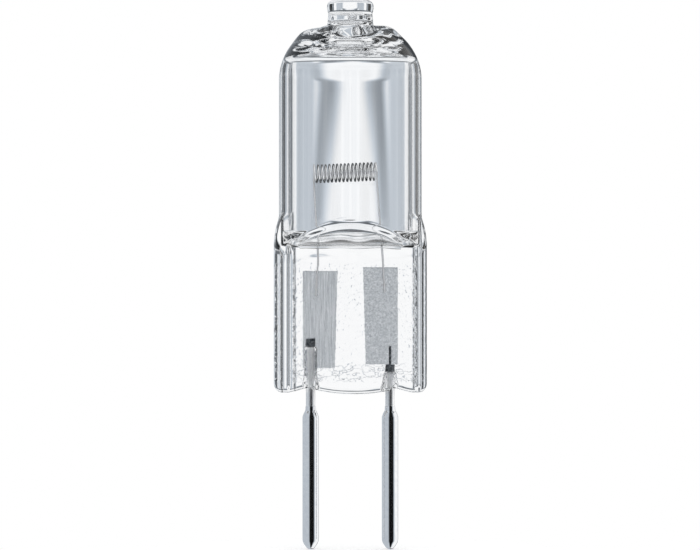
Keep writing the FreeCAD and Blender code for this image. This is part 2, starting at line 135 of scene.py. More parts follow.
def soft_max(first, second, blend):
    """The larger of two sizes, with a rounded valley where they are alike."""
    near = max(blend - abs(first - second), 0.0)
    return max(first, second) + near * near / (4 * blend)


def soft_min(first, second, blend):
    """The smaller of two sizes, with a rounded edge where they are alike."""
    return -soft_max(-first, -second, blend)


def between(points, place):
    """Read a size off straight runs through (place, size) points."""
    for (low, size), (high, after) in zip(points, points[1:]):
        if place <= high:
            return size + (after - size) * max(place - low, 0.0) / (high - low)
    return points[-1][1]


def curve_through(points, steps):
    """Points of a smooth curve through the given ones, with that many steps to each run."""
    padded = [points[0]] + list(points) + [points[-1]]
    route = []
    for before, start, end, after in zip(padded, padded[1:], padded[2:], padded[3:]):
        for step in range(steps):
            t = step / steps
            weights = (-t + 2 * t * t - t ** 3, 2 - 5 * t * t + 3 * t ** 3,
                       t + 4 * t * t - 3 * t ** 3, -t * t + t ** 3)
            corners = (before, start, end, after)
            route.append(tuple(sum(w * p[axis] for w, p in zip(weights, corners)) / 2
                               for axis in range(len(start))))
    return route + [points[-1]]


def spread(start, end, count):
    """Evenly spaced sizes from start up to, but not with, end."""
    return [start + (end - start) * number / count for number in range(count)]


# %% [markdown]
# ## A skin rolled from a grid
#
# The glass is round at its top and flat at its foot, so neither a lathe nor a box gives it. Here a
# plain grid is added and rolled up like a sheet: its columns run round the bulb and its rows run up
# it. Each vertex is then put where a formula says, and the seam is merged. The formula works on the
# half depth of the glass at a place across, the same way as the pressing jaws did.


# %% Rolling a grid
def edit_all(*steps):
    """Run steps in edit mode with the whole active mesh selected."""
    bpy.ops.object.mode_set(mode="EDIT")
    bpy.ops.mesh.select_all(action="SELECT")
    for step in steps:
        step()
    bpy.ops.object.mode_set(mode="OBJECT")


def rolled_skin(name, around, rings, place, inside=False):
    """Roll a grid into a closed skin. place(angle, ring) gives each vertex in millimetres."""
    bpy.ops.object.select_all(action="DESELECT")
    last = len(rings) - 1
    bpy.ops.mesh.primitive_grid_add(x_subdivisions=around, y_subdivisions=last, size=1)
    skin = bpy.context.object
    skin.name = skin.data.name = name
    for vertex in skin.data.vertices:
        column = round((vertex.co.x + 0.5) * around) % around
        ring = rings[round((vertex.co.y + 0.5) * last)]
        vertex.co = Vector(place(2 * math.pi * column / around, ring)) * MM
    edit_all(lambda: bpy.ops.mesh.remove_doubles(threshold=0.002 * MM),
             lambda: bpy.ops.mesh.normals_make_consistent(inside=inside))
    bpy.ops.object.shade_smooth()
    print(f"{name}: {len(skin.data.polygons)} faces")
    return skin


# %% [markdown]
# ## The outside of the glass
#
# Going up: a wavy sole, the flat press seal with a thick rib along each side and a thinner web
# between them, the shoulder where the jaws met the round tube, the tube, its dome, and the squarish
# stub on top. The ribs' rounded edges grow sharper where they run up beside the tube as fins. Small
# uneven waves are added where the real glass was soft: on the shoulder of the dome, on the web and
# round the jaws' edge.


# %% Half depth and half width of the outside
def bowl_depth(radius, above, deep):
    """Half depth of a bowl's round bottom, and of the straight wall that goes on above it."""
    if above >= 0:
        return radius + above
    return radius * math.sqrt(max(1 - (above / deep) ** 2, 0.0))


def jaw_depth(height):
    """Half depth to which the jaws pressed the glass at a height: a bowl over the flat web."""
    return soft_max(bowl_depth(BOWL_RADIUS, height - BOWL_CENTRE, BOWL_DEEP), WEB_DEPTH, 1.0)


def seal_half_width(height):
    """Half width of the press seal, which runs up into the tube as a shoulder."""
    rise = max(height - SEAL_TOP, 0.0)
    bend = SHOULDER_BEND
    return SEAL_HALF - bend + math.sqrt(max(bend * bend - rise * rise, 0.0))


def half_width(height):
    """Half width of the outside at a height, up to the dome."""
    if height > SHOULDER_TOP:
        return TUBE_RADIUS
    return min(soft_max(TUBE_RADIUS, seal_half_width(height), 0.12), SEAL_HALF)


RIB_RISE = ((-0.02, 0.0), (0.06, 0.2), (0.3, 0.44), (0.5, 0.94), (0.56, 1.0))


def rib_depth(across, width, height):
    """Half depth of the seal across its section: the web, then a rib up to the rounded edge."""
    side = "right" if across > 0 else "left"
    place = abs(across)
    rise = between(RIB_RISE, place - WEB_EDGE[side])
    depth = WEB_DEPTH + (RIB_DEPTH - WEB_DEPTH) * rise
    fin = smooth_step(SEAL_TOP - FIN_BLEND, SEAL_TOP + FIN_BLEND, height)
    rounding = RIB_ROUND[side] * (1 - FIN_SHARPENING * fin)
    turned = (place - (width - rounding)) / rounding
    if turned <= 0:
        return depth
    return depth * max(1 - turned ** RIB_SQUARENESS, 0.0) ** (1 / RIB_SQUARENESS)


def round_depth(across, radius, squareness=2.0):
    """Half depth of a round section, or of a rounded square one."""
    share = min(abs(across) / radius, 1.0) if radius > 0 else 1.0
    return radius * max(1 - share ** squareness, 0.0) ** (1 / squareness)


def outer_depth(across, height):
    """Half depth of the outside below the dome."""
    tube = soft_min(round_depth(across, TUBE_RADIUS), jaw_depth(height), JAW_EDGE)
    if height > SHOULDER_TOP:
        return round_depth(across, TUBE_RADIUS)
    width = seal_half_width(height)
    rib = rib_depth(across, width, height) if abs(across) < width else 0.0
    edge = smooth_step(0.0, 0.3, half_width(height) - abs(across))
    return soft_max(max(tube, 0.0), rib, 0.02 + 0.3 * edge) if edge > 0 else max(tube, rib, 0.0)


def sole_height(across):
    """Height of the seal's wavy lower edge, which bows down between and beside the leads."""
    place = abs(across)
    low = GLASS_LOW.z
    if place < PIN_X:
        bow = 1 - ((across - 0.3) / (PIN_X + 0.3)) ** 2
        height = SEAL_FOOT - (SEAL_FOOT - low) * max(bow, 0.0) ** 0.8
    else:
        height = SEAL_FOOT - SOLE_SIDE_DROP * smooth_step(PIN_X, SEAL_HALF - 1.0, place)
    corner = SOLE_CORNER
    over = max(place - (SEAL_HALF - corner), 0.0)
    return height + corner - math.sqrt(max(corner * corner - over * over, 0.0))


# %% Rings of the outside, from the sole to the stub
SOLE_ROUND = 0.36


def outer_rings():
    rings = [("sole", share) for share in spread(0.0, 1.0, 7)]
    rings += [("edge", angle) for angle in spread(0.0, math.pi / 2, 8)]
    levels = spread(0.0, 1.5, 10) + spread(1.5, 9.0, 22) + spread(9.0, 14.6, 62)
    levels += spread(14.6, DOME_FOOT - SEAL_FOOT - SOLE_ROUND, 16)
    rings += [("level", SEAL_FOOT + SOLE_ROUND + level) for level in levels]
    corner = [(TUBE_RADIUS * math.cos(a), DOME_FOOT + DOME_RISE * math.sin(a), 2.0)
              for a in spread(0.0, math.radians(53), 36)]
    crown = curve_through([(3.43, 41.52, 2.0), (3.0, 41.7, 2.0), (2.6, 41.78, 2.0),
                           (2.25, 41.7, 2.0), (1.98, 41.68, 2.2)], 5)[:-1]
    stub = curve_through([(1.9, 41.75, 2.4), (1.83, 42.0, 3.0), (1.8, 42.4, 3.4),
                          (1.76, 42.76, 3.4), (1.82, 43.05, 3.4), (1.86, 43.3, 3.4),
                          (1.84, 43.5, 3.4), (1.76, 43.68, 3.2), (1.55, 43.84, 3.0),
                          (1.15, 43.93, 2.6), (0.6, 43.98, 2.2), (0.0, 44.0, 2.0)], 4)
    return rings + [("round", point) for point in corner + crown + stub]


def unevenness(point, scale, amount):
    """Soft waves of hand-worked glass: a small push, by place."""
    return amount * noise.noise(Vector(point) / scale)


def outer_place(angle, ring):
    kind, value = ring
    sine, front = math.sin(angle), -math.copysign(1.0, math.cos(angle))
    if kind == "round":
        radius, height, squareness = value
        across = radius * sine
        depth = round_depth(across, radius, squareness)
        dome = smooth_step(4.9, 3.6, radius) * smooth_step(1.9, 2.5, radius)
        push = unevenness((across, front * depth, height), 1.9, 0.2) * dome
        grown = 1 + push / TUBE_RADIUS
        return across * grown, front * depth * grown, height + push
    height = value if kind == "level" else SEAL_FOOT + SOLE_ROUND
    across = half_width(height) * sine
    depth = outer_depth(across, height)
    waves = sole_height(across) - SEAL_FOOT
    if kind == "level":
        above = height - SEAL_FOOT - SOLE_ROUND
        lift = waves * (1 - smooth_step(0.0, 2.4, above))
        web = smooth_step(0.2, 0.6, WEB_EDGE["left"] + 0.3 - abs(across)) * (1 - smooth_step(
            SEAL_TOP - 1.0, SEAL_TOP + 0.5, height))
        push = unevenness((across, front * depth, height), 1.1, 0.012) * web
        fold = smooth_step(SEAL_TOP - 1.3, SEAL_TOP - 0.6, height) * smooth_step(
            FLOOR_TOP, SEAL_TOP, height)
        push += unevenness((across * 0.25, front * depth * 0.3, height), 0.6, 0.04) * fold
        return across, front * max(depth + push * min(depth, 1.0), 0.0), height + lift
    rounding = min(SOLE_ROUND, depth * 0.85)
    if kind == "sole":
        return across, front * (depth - rounding) * value, sole_height(across)
    inset = rounding * (1 - math.sin(value))
    lift = SOLE_ROUND * (1 - math.cos(value))
    return across, front * (depth - inset), sole_height(across) + lift


glass = rolled_skin("quartz_glass", 256, outer_rings(), outer_place)

# %% [markdown]
# ## The channels of the leads
#
# Each lead leaves the seal by a narrow channel with air round it, which flares at its mouth like a
# trumpet. The channel is turned from a circle: its rim is extruded up and scaled, step by step. A
# boolean then takes it out of the glass.


# %% Turned pieces
def turned_piece(name, profile, centre, around=64):
    """Turn a piece: a circle is extruded and scaled along (radius, height) points."""
    bpy.ops.object.select_all(action="DESELECT")
    radius, height = profile[0]
    bpy.ops.mesh.primitive_circle_add(vertices=around, radius=radius * MM, fill_type="NGON",
                                      location=(centre * MM, 0, height * MM))
    piece = bpy.context.object
    piece.name = piece.data.name = name
    bpy.ops.object.transform_apply(location=True, rotation=False, scale=False)
    bpy.ops.object.mode_set(mode="EDIT")
    bpy.ops.mesh.select_all(action="SELECT")
    for after_radius, after_height in profile[1:]:
        rise = (0, 0, (after_height - height) * MM)
        bpy.ops.mesh.extrude_region_move(TRANSFORM_OT_translate={"value": rise})
        grow = after_radius / radius
        bpy.ops.transform.resize(value=(grow, grow, 1),
                                 center_override=(centre * MM, 0, after_height * MM))
        radius, height = after_radius, after_height
    bpy.ops.object.mode_set(mode="OBJECT")
    edit_all(lambda: bpy.ops.mesh.normals_make_consistent(inside=False))
    bpy.ops.object.shade_smooth_by_angle(angle=math.radians(40))
    return piece


def channel_profile(side):
    """Radius and height up a channel: its flared mouth, its shaft and its rounded end."""
    top = CHANNEL_TOP[side]
    mouth = curve_through([(0.86, SEAL_FOOT - 0.35), (0.8, SEAL_FOOT), (0.66, SEAL_FOOT + 0.35),
                           (0.56, SEAL_FOOT + 0.8), (CHANNEL_RADIUS, SEAL_FOOT + 1.2)], 3)
    shaft = [(CHANNEL_RADIUS, top - 0.35)] if top - 0.35 > SEAL_FOOT + 1.25 else []
    end = [(CHANNEL_RADIUS * 0.97, top - 0.12), (CHANNEL_RADIUS * 0.88, top - 0.03),
           (LEAD_RADIUS, top), (0.05, top)]
    return [(0.9, GLASS_LOW.z - 0.6)] + mouth + shaft + end


for side, sign in SIDES.items():
    cutter = turned_piece(f"{side}_channel", channel_profile(side), sign * PIN_X)
    bpy.ops.object.select_all(action="DESELECT")
    bpy.context.view_layer.objects.active = glass
    glass.select_set(True)
    cut = glass.modifiers.new(f"{side}_channel", "BOOLEAN")
    cut.operation, cut.solver, cut.object = "DIFFERENCE", "EXACT", cutter
    bpy.ops.object.modifier_apply(modifier=cut.name)
    bpy.data.objects.remove(cutter)
print("glass with its channels:", len(glass.data.polygons), "faces")

# %% [markdown]
# ## The cavity
#
# Inside the tube is one sealed hollow: a round roof with the closed end of the filling hole in its
# middle, straight walls, and a floor that slopes down from front and back to the slit where the
# tube's walls met. It is rolled from a grid as the outside is, with its faces turned to the hollow.


# %% The cavity's skin
def cavity_depth(across, height):
    """Half depth of the cavity: the round bore, cut by the sloped floor."""
    bowl = bowl_depth(BORE_RADIUS, height - FLOOR_TOP, FLOOR_DEEP)
    flare = smooth_step(SLIT_FOOT, FLOOR_TOP - FLOOR_DEEP + 0.3, height)
    slit = SLIT_HALF + SLIT_FLARE * flare
    slope = soft_max(bowl, slit, 0.5)
    return max(soft_min(round_depth(across, cavity_width(height)), slope, 0.25), 0.0)


def cavity_width(height):
    """Half width of the cavity, a little narrower where the tube was pressed."""
    return BORE_RADIUS - SLIT_NARROWING * smooth_step(SEAL_TOP + 1.3, SLIT_FOOT, height)


def cavity_rings():
    rings = [("slit", share) for share in spread(0.0, 1.0, 5)]
    levels = spread(SLIT_FOOT, FLOOR_TOP + 0.6, 40) + spread(FLOOR_TOP + 0.6, ROOF_FOOT, 14)
    rings += [("level", level) for level in levels]
    turns = [math.radians(90) * share for share in spread(0.0, 0.965, 44)]
    roof = [(BORE_RADIUS * math.cos(a) ** (2 / ROOF_SQUARE),
             ROOF_FOOT + (ROOF - ROOF_FOOT) * math.sin(a) ** (2 / ROOF_SQUARE)) for a in turns]
    hole = curve_through([(1.8, ROOF - 0.01), (1.5, ROOF - 0.12),
                          (1.25, ROOF - 0.38), (1.0, ROOF - 0.34), (0.75, ROOF - 0.05),
                          (0.5, ROOF + 0.2), (0.25, ROOF + 0.3), (0.0, ROOF + 0.32)], 5)
    return rings + [("round", point) for point in roof + hole]


def cavity_place(angle, ring):
    kind, value = ring
    sine, front = math.sin(angle), -math.copysign(1.0, math.cos(angle))
    if kind == "round":
        radius, height = value
        across = radius * sine
        depth = round_depth(across, radius)
        middle = smooth_step(2.2, 1.5, radius) * smooth_step(0.05, 0.6, radius)
        push = (unevenness((across, front * depth, height), 1.3, 0.22) - 0.08 * across) * middle
        return across, front * depth, height + push
    height = value if kind == "level" else SLIT_FOOT
    across = cavity_width(height) * sine
    depth = cavity_depth(across, height)
    share = value if kind == "slit" else 1.0
    low = 1 - smooth_step(SLIT_FOOT + 0.1, FLOOR_TOP - 0.4, height)
    wave = unevenness((across, 0.0, 3.0), 2.4, 0.16) * low
    return across, front * depth * share, height + wave


cavity = rolled_skin("cavity", 192, cavity_rings(), cavity_place, inside=True)

# %% [markdown]
# ## The hollows left in the stub
#
# Where the filling tube was melted off, its bore is left as a closed hollow in the stub, with a
# small bubble before it and a flat one under it. They are spheres, squared or flattened in place
# and turned inside out, because their faces look into the air that they hold.


# %% Hollows
def hollow(name, centre, reach, squareness=1.0):
    """Add a closed hollow: a sphere stretched to its reach and squared by a power up to 1."""
    bpy.ops.object.select_all(action="DESELECT")
    bpy.ops.mesh.primitive_uv_sphere_add(segments=64, ring_count=32, radius=1.0)
    made = bpy.context.object
    made.name = name
    for vertex in made.data.vertices:
        vertex.co = Vector(middle + math.copysign(abs(share) ** squareness, share) * size
                           for middle, share, size in zip(centre, vertex.co, reach)) * MM
    edit_all(lambda: bpy.ops.mesh.normals_make_consistent(inside=True))
    bpy.ops.object.shade_smooth()
    return made


hollows = [hollow("stub_bore", (-0.1, 0.2, 42.45), (1.2, 0.9, 0.62), 0.7),
           hollow("stub_bubble", (0.15, -1.25, 42.5), (0.36, 0.2, 0.36)),
           hollow("flat_bubble", (0.0, 0.0, 40.95), (1.0, 0.9, 0.16))]

# %% One piece of glass
bpy.ops.object.select_all(action="DESELECT")
for skin in (cavity, glass, *hollows):
    skin.select_set(True)
bpy.context.view_layer.objects.active = glass
bpy.ops.object.join()
print("whole glass:", len(glass.data.polygons), "faces")

# %% [markdown]
# ## The filament
#
# One wire: a leg that is welded to the left foil, the coil, and the other leg. A curve suits a
# wire, because it stays round along any route. The coil's points come from a loop, and the whole is
# turned into a mesh at the end.

# %% The filament's route
COIL_TURNS = 16.5
COIL_TILT = math.radians(2.3)
WIRE_RADIUS = 0.085
wire_low = box_mm("filament")[0]
COIL_MIDDLE = Vector((-0.42, 0.0, 30.1))
COIL_RADIUS = 0.68
COIL_LOW = COIL_MIDDLE.z - COIL_RADIUS + 0.42 * math.tan(COIL_TILT)
COIL_PITCH = 0.306
LEG_DEPTH = {side: FOIL_BOX[side][0].y - WIRE_RADIUS + 0.02 for side in SIDES}
LEG_X = 2.74
LEG_STAGGER = {"left": 0.01, "right": 0.31}
LEG_END = {side: Vector((sign * LEG_X, LEG_DEPTH[side], wire_low.z + LEG_STAGGER[side]))
           for side, sign in SIDES.items()}
LEG_ENTRY = 23.3
LEG_KNEE = 0.7
LEG_LEAN = 0.16


def coil_route(steps_per_turn=28):
    """Points of the coil from its back left end to its front right end."""
    steps = round(COIL_TURNS * steps_per_turn)
    tilt = Matrix.Rotation(-COIL_TILT, 3, "Y")
    route = []
    for step in range(steps + 1):
        turned = COIL_TURNS * step / steps
        angle = 2 * math.pi * turned
        loose = 1 + 0.03 * noise.noise(Vector((turned * 1.7, 0.0, 5.0)))
        uneven = 0.03 * noise.noise(Vector((turned, 9.0, 0.0)))
        along = COIL_PITCH * (turned - COIL_TURNS / 2) + uneven
        local = Vector((along, COIL_RADIUS * loose * math.cos(angle),
                        COIL_RADIUS * loose * math.sin(angle)))
        route.append(COIL_MIDDLE + tilt @ local)
    return route


def leg_route(side, coil_end):
    """Points of a leg from its weld up to just below the coil's end."""
    end = LEG_END[side]
    entry = Vector((end.x - SIDES[side] * LEG_LEAN, end.y, LEG_ENTRY))
    knee = coil_end - Vector((0, 0, LEG_KNEE))
    return [tuple(point) for point in curve_through([end, (end + entry) / 2, entry,
                                                     (entry * 0.5 + knee * 0.5), knee], 6)]


coil = coil_route()
route = leg_route("left", coil[0]) + [tuple(point) for point in coil] \
    + leg_route("right", coil[-1])[::-1]

# %% The filament's wire
wire_data = bpy.data.curves.new("filament_wire", "CURVE")
wire_data.dimensions = "3D"
wire_data.bevel_depth, wire_data.bevel_resolution = WIRE_RADIUS * MM, 3
wire_data.use_fill_caps = True
spline = wire_data.splines.new("POLY")
spline.points.add(len(route) - 1)
for point, place in zip(spline.points, route):
    point.co = (*(Vector(place) * MM), 1.0)
filament = bpy.data.objects.new("filament_wire", wire_data)
bpy.context.collection.objects.link(filament)
bpy.ops.object.select_all(action="DESELECT")
filament.select_set(True)
bpy.context.view_layer.objects.active = filament
bpy.ops.object.convert(target="MESH")
filament = bpy.context.object
bpy.ops.object.shade_smooth()
print("filament:", len(filament.data.polygons), "faces")

# %% [markdown]
# ## Leads and pins
#
# Both are turned pieces. A lead is a plain drawn rod. A pin is a sleeve with a blunt rounded nose
# below, a straight shank, and at its top a cone that was swaged down on the lead and ends in a thin
# lip.


# %% Leads and pins
def lead_profile(side):
    low, high = LEAD_BOX[side]
    edge = 0.05
    return [(LEAD_RADIUS - edge, low.z), (LEAD_RADIUS, low.z + edge),
            (LEAD_RADIUS, high.z - edge), (LEAD_RADIUS - edge, high.z)]


NECK_LENGTH = 0.82


def pin_profile():
    neck = PIN_TOP - NECK_LENGTH
    nose = curve_through([(0.1, 0.0), (0.27, 0.06), (0.42, 0.24), (0.56, 0.46),
                          (PIN_RADIUS - 0.02, 0.62), (PIN_RADIUS, 0.8)], 4)
    cone = curve_through([(PIN_RADIUS, neck - 0.05), (PIN_RADIUS - 0.03, neck + 0.06),
                          (0.54, neck + 0.28), (0.45, neck + 0.44), (0.415, neck + 0.56)], 4)
    return nose + cone + [(0.41, PIN_TOP - 0.04), (0.4, PIN_TOP), (0.376, PIN_TOP)]


leads = {side: turned_piece(f"{side}_lead_rod", lead_profile(side), sign * PIN_X, 48)
         for side, sign in SIDES.items()}
pins = {side: turned_piece(f"{side}_contact_pin", pin_profile(), sign * PIN_X, 96)
        for side, sign in SIDES.items()}

# %% [markdown]
# ## Writing materials as sums
#
# A material is a small calculation that runs at each point of a surface. The class below wraps one
# output of a node, so that plain arithmetic in Python adds the nodes that do it.


# %% Sockets with arithmetic
class Value:
    """One output of a node tree, on which Python's own arithmetic adds Math nodes."""

    def __init__(self, tree, socket=None):
        self.tree, self.socket = tree, socket

    def node(self, kind, settings=None, inputs=None, output=0):
        """Add any node: its settings first, then the values or links of its sockets."""
        node = self.tree.nodes.new(kind)
        for name, setting in (settings or {}).items():
            if name == "stops":
                while len(node.color_ramp.elements) < len(setting):
                    node.color_ramp.elements.new(1.0)
                for element, (place, colour) in zip(node.color_ramp.elements, setting):
                    element.position, element.color = place, (*colour, 1.0)
            else:
                setattr(node, name, setting)
        for name, value in (inputs or {}).items():
            if isinstance(value, Value):
                self.tree.links.new(value.socket, node.inputs[name])
            else:
                node.inputs[name].default_value = value
        return Value(self.tree, node.outputs[output])

    def maths(self, operation, *values):
        return self.node("ShaderNodeMath", {"operation": operation}, dict(enumerate(values)))

    def __add__(self, other):
        return self.maths("ADD", self, other)

    def __sub__(self, other):
        return self.maths("SUBTRACT", self, other)

    def __rsub__(self, other):
        return self.maths("SUBTRACT", other, self)

    def __mul__(self, other):
        return self.maths("MULTIPLY", self, other)

    def __truediv__(self, other):
        return self.maths("DIVIDE", self, other)

    def __abs__(self):
        return self.maths("ABSOLUTE", self)

    __radd__ = __add__
    __rmul__ = __mul__

    def step(self, low, high):
        """Smooth step of this value from 0 at low to 1 at high."""
        return self.node("ShaderNodeMapRange", {"interpolation_type": "SMOOTHSTEP"},
                         {"Value": self, "From Min": low, "From Max": high})

    def mix(self, low, high):
        """Colour between two, by this value as the share."""
        return self.node("ShaderNodeMix", {"data_type": "RGBA"},
                         {0: self, 6: low, 7: high}, output=2)


def material(name, **constants):
    """Start a material whose Principled shader has these constants, and return its two ends."""
    made = bpy.data.materials.new(name)
    made.use_nodes = True
    shader = made.node_tree.nodes["Principled BSDF"]
    for socket, value in constants.items():
        shader.inputs[socket.replace("_", " ")].default_value = value
    return made, Value(made.node_tree), shader


def feed(shader, **values):
    """Link values that change over the surface to the shader's sockets."""
    for socket, value in values.items():
        value.tree.links.new(value.socket, shader.inputs[socket.replace("_", " ")])


def place_of(tree):
    """Object coordinates of a material, and the three numbers in them, in millimetres."""
    where = tree.node("ShaderNodeTexCoord", output="Object")
    scaled = tree.node("ShaderNodeVectorMath", {"operation": "SCALE"},
                       {0: where, "Scale": 1 / MM})
    return scaled, [tree.node("ShaderNodeSeparateXYZ", None, {0: scaled}, axis)
                    for axis in ("X", "Y", "Z")]


def noise_of(tree, where, scale, detail=2.0, roughness=0.5, distortion=0.0):
    return tree.node("ShaderNodeTexNoise", None,
                     {"Vector": where, "Scale": scale, "Detail": detail,
                      "Roughness": roughness, "Distortion": distortion})


def stretched(tree, where, scale):
    return tree.node("ShaderNodeVectorMath", {"operation": "MULTIPLY"}, {0: where, 1: scale})


def grazing(tree):
    """0 where a surface faces the eye and 1 along its outline, for painted shade along a wire's
    edge.
    """
    return tree.node("ShaderNodeLayerWeight", None, {"Blend": 0.5}, "Facing")


def bump(tree, height, strength, distance):
    return tree.node("ShaderNodeBump", None,
                     {"Height": height, "Strength": strength, "Distance": distance * MM})


# %% [markdown]
# ## Clear quartz
#
# Smooth on the blown tube. On the seal, the jaws left an orange-peel skin, with a row of small pits
# along the foot of each rib. Both are bump, masked by place, because they are far finer than the
# mesh.

# %% Quartz
quartz, tree, shader = material("clear_quartz", Transmission_Weight=1.0, IOR=1.458,
                                Roughness=0.0, Base_Color=(0.985, 0.992, 1.0, 1.0))
where, (across, depth, height) = place_of(tree)
on_web = (1 - height.step(22.6, 23.4)) * (1 - abs(across - 0.3).step(5.0, 5.2)) \
    * height.step(12.9, 13.6)
peel = noise_of(tree, where, 3.2, 2.0, 0.5)
PITS_LEFT, PITS_RIGHT = -4.51, 5.14
pit_band = (1 - abs(across - PITS_LEFT).step(0.03, 0.1)) \
    + (1 - abs(across - PITS_RIGHT).step(0.03, 0.12))
pits = noise_of(tree, where, 3.6, 1.0).step(0.46, 0.58) * pit_band
cracks = abs(noise_of(tree, stretched(tree, where, (0.9, 0.9, 1.6)), 1.0, 2.0) - 0.5)
foot_band = height.step(13.2, 13.6) * (1 - height.step(14.4, 15.0))
relief = peel * 2.5 - pits * 3.0 - (1 - cracks.step(0.0, 0.016)) * foot_band
feed(shader, Normal=bump(tree, relief * on_web, 0.5, 0.02))

# %% [markdown]
# ## The metals
#
# Tungsten is dull grey, with painted shade under the coil and along the wire's outline. The foils
# are satin with rolling marks on the left one and a grain on the right one, the leads are drawn
# rods with painted bands of reflection and shade, and the pins are bright nickel.

# %% Metals
tungsten, tree, shader = material("tungsten_wire", Metallic=1.0, Roughness=0.3)
where, (across, depth, height) = place_of(tree)
# Painted shade: below the coil's lowest line its underside is coloured near black, for the dark
# that it faces from below.
painted_underside_shade = 1 - (height - COIL_LOW - across * math.tan(COIL_TILT)).step(-0.05, 0.3)
in_coil = height.step(29.0, 29.2) * (1 - abs(across - COIL_MIDDLE.x).step(2.25, 2.4))
# Painted shade: the wire darkens towards its outline, fully on the coil and about a third as much
# on the legs.
painted_rim_shade = grazing(tree).step(0.12, 0.6) * (0.35 + in_coil * 0.65)
feed(shader, Base_Color=(painted_rim_shade + painted_underside_shade * in_coil).mix((1.0, 1.0, 1.0, 1), (0.05, 0.055, 0.06, 1)))

foil_skin, tree, shader = material("rolled_foil", Metallic=1.0)
where, (across, depth, height) = place_of(tree)
marks = noise_of(tree, stretched(tree, where, (9.0, 9.0, 0.35)), 1.0, 3.0, 0.6)
grain = noise_of(tree, where, 7.0, 3.0, 0.65)
side_share = across.step(-0.1, 0.1)
texture = marks * (1 - side_share) + grain * side_share
foil_top = FOIL_BOX["left"][1].z + side_share * (FOIL_BOX["right"][1].z - FOIL_BOX["left"][1].z)
top_line = (height - foil_top).step(-0.16, -0.02)
feed(shader,
     Base_Color=(texture.step(0.25, 0.75) * (1 - top_line * 0.8)).mix(
         (0.60, 0.62, 0.64, 1), (0.92, 0.93, 0.94, 1)),
     Roughness=0.16 + texture * 0.16,
     Normal=bump(tree, texture, 0.5, 0.01))

rod_skin, tree, shader = material("drawn_rod", Metallic=1.0)
where, (across, depth, height) = place_of(tree)
on_right = across.step(-0.1, 0.1)
fused_from = CHANNEL_TOP["left"] + on_right * (CHANNEL_TOP["right"] - CHANNEL_TOP["left"])
fused = (height - fused_from).step(-0.08, 0.04)
draw_marks = noise_of(tree, stretched(tree, where, (9.0, 9.0, 0.5)), 1.0, 3.0)
specks = noise_of(tree, where, 8.0, 3.0).step(0.45, 0.6)
outline = grazing(tree)
# Painted reflection and shade: the rod is white, a little darker where it faces the eye and dark
# along its outline.
painted_rod_shade = (1 - outline.step(0.03, 0.12)) * 0.3 + outline.step(0.8, 0.98)
painted_rod_bands = painted_rod_shade.mix((1.0, 1.0, 1.0, 1), (0.22, 0.24, 0.26, 1))
burnt = specks.mix((0.07, 0.08, 0.09, 1), (0.30, 0.32, 0.34, 1))
feed(shader,
     Base_Color=fused.mix(painted_rod_bands, burnt),
     Roughness=0.3 + draw_marks * 0.24 + fused * 0.2,
     Normal=bump(tree, draw_marks, 0.3, 0.02))

nickel, tree, shader = material("bright_nickel", Metallic=1.0)
where, (across, depth, height) = place_of(tree)
haze = noise_of(tree, where, 3.0, 4.0)
feed(shader,
     Base_Color=haze.step(0.3, 0.7).mix((0.86, 0.87, 0.89, 1), (0.95, 0.955, 0.96, 1)),
     Roughness=0.07 + haze * 0.06,
     Normal=bump(tree, haze, 0.08, 0.01))

# %% Dressing the pieces
pieces = {"quartz_glass": (glass, quartz, "quartz", ["quartz_envelope"]),
          "filament_wire": (filament, tungsten, "tungsten", ["filament"])}
for side in SIDES:
    pieces[f"{side}_lead_rod"] = (leads[side], rod_skin, "lead_wire", [f"{side}_lead"])
    pieces[f"{side}_contact_pin"] = (pins[side], nickel, "pin_plating", [f"{side}_pin_sleeve"])
    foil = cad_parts[f"{side}_foil"]
    foil.data.materials.clear()
    foil.data.materials.append(foil_skin)
for piece, skin, slot, nodes in pieces.values():
    piece.data.materials.clear()
    piece.data.materials.append(skin)
    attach(piece, "root")
    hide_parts(*nodes)

# %% [markdown]
# ## The studio
#
# The room is a ring of light and dark cards round the bulb, at fixed compass directions, and the
# bulb only shows what its glass and metal bend towards the camera. Straight behind it is a white
# window with a soft dark edge. Further round come a pale card, a white card, a black one that draws
# the glass's outline, and a grey one. The pattern is the same from each of the four sides. Glass
# that bends light up or down sees a few level bands instead. Metal in the open sees another set:
# black on the camera's side, white to the right and grey to the left. The cards were placed by
# trial until the stripes fell where the photo has them, so they are no record of a real room.


# %% Light and dark cards
def grey(level):
    """Light that shows as this display level, from 0 to 255."""
    share = level / 255
    return share / 12.92 if share <= 0.04045 else ((share + 0.055) / 1.055) ** 2.4


def with_cards(angle, base, cards):
    """Hang cards on a ring. Each fades in from start to full, and out from leave to end."""
    tone = angle * 0 + grey(base)
    for start, full, leave, end, level in cards:
        cover = angle.step(start, full) * (1 - angle.step(leave, end))
        tone = tone + cover * (grey(level) - tone)
    return tone


world = bpy.data.worlds.new("studio")
bpy.context.scene.world = world
world.use_nodes = True
tree = Value(world.node_tree)
toward = tree.node("ShaderNodeTexCoord", output="Generated")
east, north, up = [tree.node("ShaderNodeSeparateXYZ", None, {0: toward}, axis) for axis in "XYZ"]
compass = tree.maths("ARCTAN2", east, north) * math.degrees(1)
folded = tree.maths("PINGPONG", compass - 0.25, 45.0)
LEVEL_CARDS = ((3.2, 5.2, 60, 61, 203), (10.5, 12.5, 60, 61, 254), (16.6, 17.2, 60, 61, 100),
               (18.4, 19.2, 60, 61, 168), (20.4, 22.0, 60, 61, 5), (34.0, 36.0, 60, 61, 195),
               (41.0, 42.5, 60, 61, 245))
STEEP_CARDS = ((-1.2, -1.1, -0.99, -0.95, 30), (-0.40, -0.34, -0.24, -0.18, 170),
               (0.08, 0.1, 0.16, 0.19, 105), (0.43, 0.47, 0.54, 0.58, 80))
high = up.step(0.0, 0.055)
window_edge = folded + high * 2.0 - 1.2
